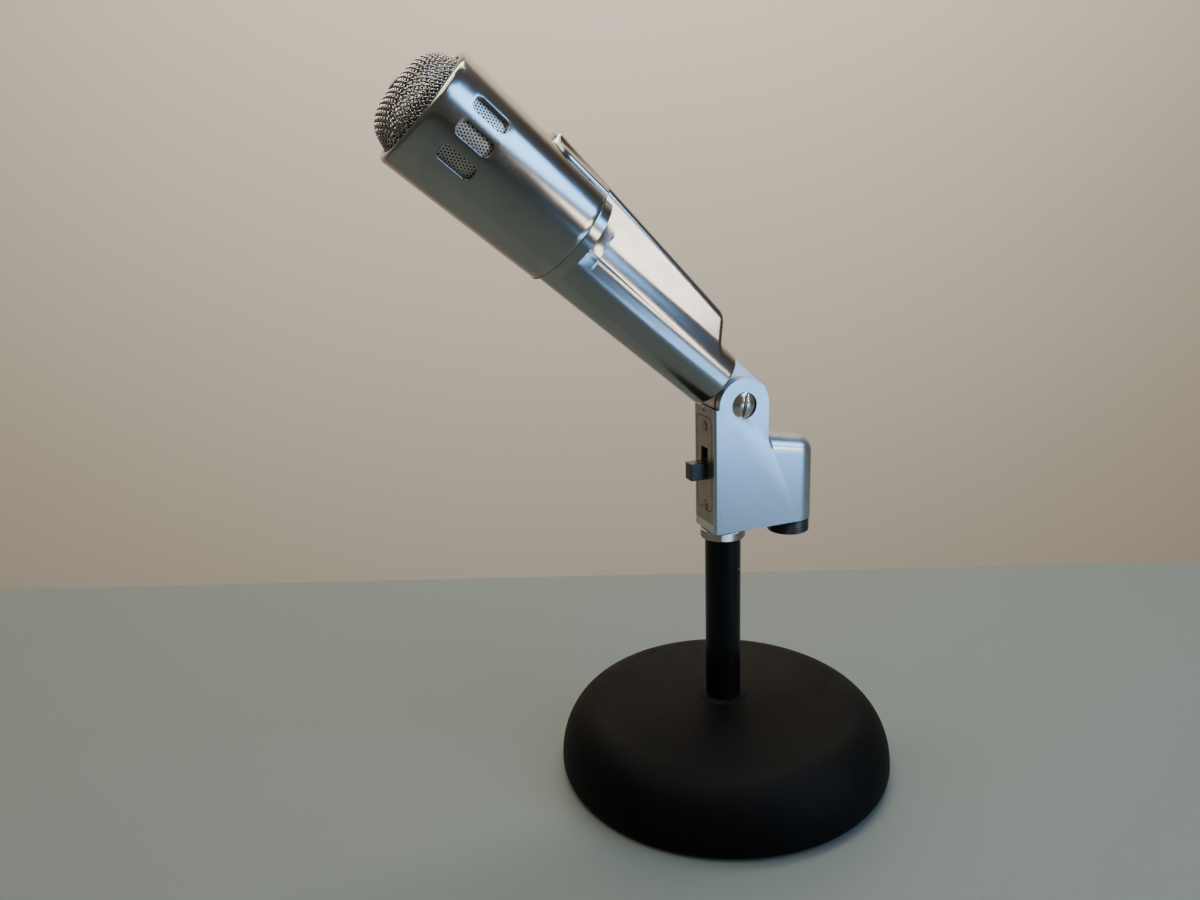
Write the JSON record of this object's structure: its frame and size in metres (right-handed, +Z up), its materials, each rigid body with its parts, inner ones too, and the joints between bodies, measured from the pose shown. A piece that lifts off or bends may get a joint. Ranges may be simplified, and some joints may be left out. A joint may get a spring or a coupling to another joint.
{
  "type": "desktop microphone on stand",
  "caption": "Tapered metal desk microphone with a mesh grille on a tilting swivel block with a slide switch, screwed onto a tube in a round weighted base.",
  "frame": {"origin": "centre of the base's underside, on the surface it stands on", "axes": "+Z up along the tube, the microphone's head points towards -Y, the cable connector is at +Y"},
  "size_m": [0.1524, 0.2133, 0.313],
  "materials": {
    "wrinkle_iron": "wrinkle paint",
    "felt": "matte",
    "black_enamel": "gloss",
    "zinc_plate": "satin",
    "nickel": "polished",
    "satin_casting": "satin",
    "block_metal": "satin",
    "lug_metal": "machined",
    "brass": "satin",
    "plate_metal": "satin",
    "black_plastic": "gloss",
    "phenolic": "matte",
    "tinned_copper": "satin",
    "dark_shell": "satin",
    "screw_steel": "satin",
    "wire_mesh": "bright",
    "perforated_sheet": "satin",
    "rubber": "matte",
    "cloth": "matte",
    "film": "gloss",
    "copper_wire": "satin",
    "soft_iron": "satin",
    "magnet_metal": "satin",
    "lamination": "matte",
    "lead_red": "satin"
  },
  "bodies": {
    "stand": {"base_casting": "wrinkle_iron", "base_pad": "felt", "stand_tube": "black_enamel", "tube_nut": "zinc_plate", "tube_washer": "zinc_plate"},
    "ring": {"lock_ring": "nickel"},
    "block": {"swivel_block": "block_metal", "thread_bushing": "brass", "switch_plate": "plate_metal", "plate_screws": "screw_steel", "switch_case": "zinc_plate", "switch_board": "phenolic", "switch_lugs": "tinned_copper", "connector_shell": "dark_shell", "connector_insulator": "phenolic", "connector_pins": "tinned_copper", "connector_setscrew": "screw_steel", "pivot_screw": "nickel", "pivot_nut": "nickel", "friction_washers": "zinc_plate", "block_leads": "lead_red"},
    "switch": {"switch_slider": "phenolic", "switch_knob": "black_plastic"},
    "microphone": {"pivot_lug": "lug_metal", "body_casting": "satin_casting", "head_shell": "satin_casting", "window_screen": "perforated_sheet", "grille_mesh": "wire_mesh", "grille_ring": "zinc_plate", "grille_button": "perforated_sheet", "dust_cloth": "cloth", "capsule_case": "lug_metal", "resonator_plate": "brass", "diaphragm": "film", "voice_coil": "copper_wire", "top_plate": "soft_iron", "magnet": "magnet_metal", "pole_piece": "soft_iron", "shock_rings": "rubber", "duct_tube": "lug_metal", "transformer_core": "lamination", "transformer_coil": "copper_wire", "body_leads": "lead_red"}
  },
  "joints": [
    {"name": "block_swivel", "type": "hinge", "parent": "stand", "child": "block", "pos_m": [0, 0, 0.1167], "axis": [0, 0, 1], "range_deg": [-180, 180]},
    {"name": "ring_spin", "type": "hinge", "parent": "stand", "child": "ring", "pos_m": [0, 0, 0.1144], "axis": [0, 0, 1], "continuous": true},
    {"name": "microphone_tilt", "type": "hinge", "parent": "block", "child": "microphone", "pos_m": [0, 0.00535, 0.1729], "axis": [-1, 0, 0], "range_deg": [-36, 48]},
    {"name": "switch_slide", "type": "slide", "parent": "block", "child": "switch", "axis": [0, 0, 1], "range_m": [0, 0.006]}
  ]
}
